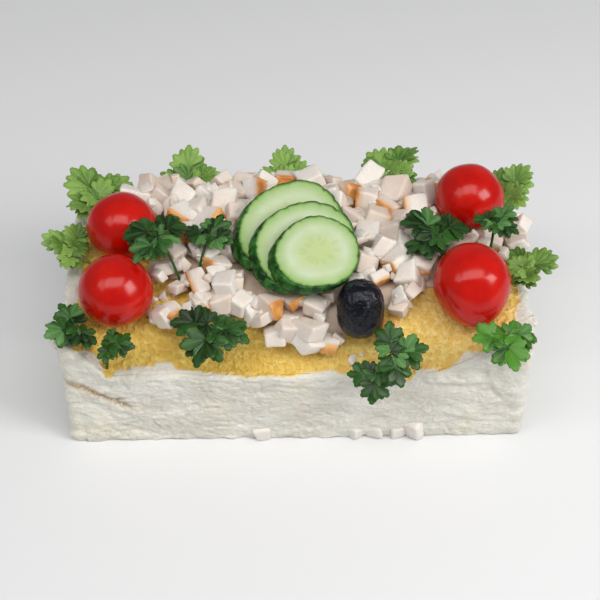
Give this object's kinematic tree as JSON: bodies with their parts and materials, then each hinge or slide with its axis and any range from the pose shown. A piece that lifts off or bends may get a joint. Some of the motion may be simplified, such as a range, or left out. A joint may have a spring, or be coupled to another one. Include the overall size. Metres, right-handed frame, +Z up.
{
  "type": "sandwich cake",
  "caption": "Rectangular savoury sandwich cake coated in cream cheese, topped with egg spread, diced chicken, cucumber slices, cherry tomatoes, a black olive and parsley.",
  "frame": {"origin": "centre of the cake's flat underside", "axes": "+X along the cake to the right, +Y from its front to its back, +Z up out of the underside"},
  "size_m": [0.2277, 0.1412, 0.0914],
  "materials": {
    "cream": "soft matt cream cheese with level knife strokes",
    "egg_spread": "matt and finely grainy golden egg spread",
    "chicken": "moist cooked chicken, some faces with browned skin",
    "tomato": "smooth glossy tomato skin",
    "olive": "satin wrinkled olive skin",
    "cucumber": "wet cucumber flesh with dark green rind",
    "parsley": "fresh satin leaf"
  },
  "bodies": {
    "root": {"cream_loaf": "cream", "yellow_spread": "egg_spread", "diced_chicken": "chicken", "cherry_tomato_back_left": "tomato", "cherry_tomato_front_left": "tomato", "cherry_tomato_back_right": "tomato", "cherry_tomato_front_right": "tomato", "black_olive": "olive", "cucumber_slice_back": "cucumber", "cucumber_slice_middle": "cucumber", "cucumber_slice_front": "cucumber", "parsley_sprig_back_left_corner": "parsley", "parsley_sprig_left_edge": "parsley", "parsley_sprig_back_left": "parsley", "parsley_sprig_back_middle": "parsley", "parsley_sprig_back_right": "parsley", "parsley_sprig_right_back_corner": "parsley", "parsley_sprig_right_edge": "parsley", "parsley_sprig_front_left_corner": "parsley", "parsley_sprig_front_left_inner": "parsley", "parsley_sprig_left_middle": "parsley", "parsley_sprig_left_middle_small": "parsley", "parsley_sprig_front_left_middle": "parsley", "parsley_sprig_front_right_upper": "parsley", "parsley_sprig_front_right_lower": "parsley", "parsley_sprig_between_right_tomatoes": "parsley", "parsley_sprig_over_right_tomatoes": "parsley", "parsley_sprig_right_front_corner": "parsley"}
  },
  "joints": []
}
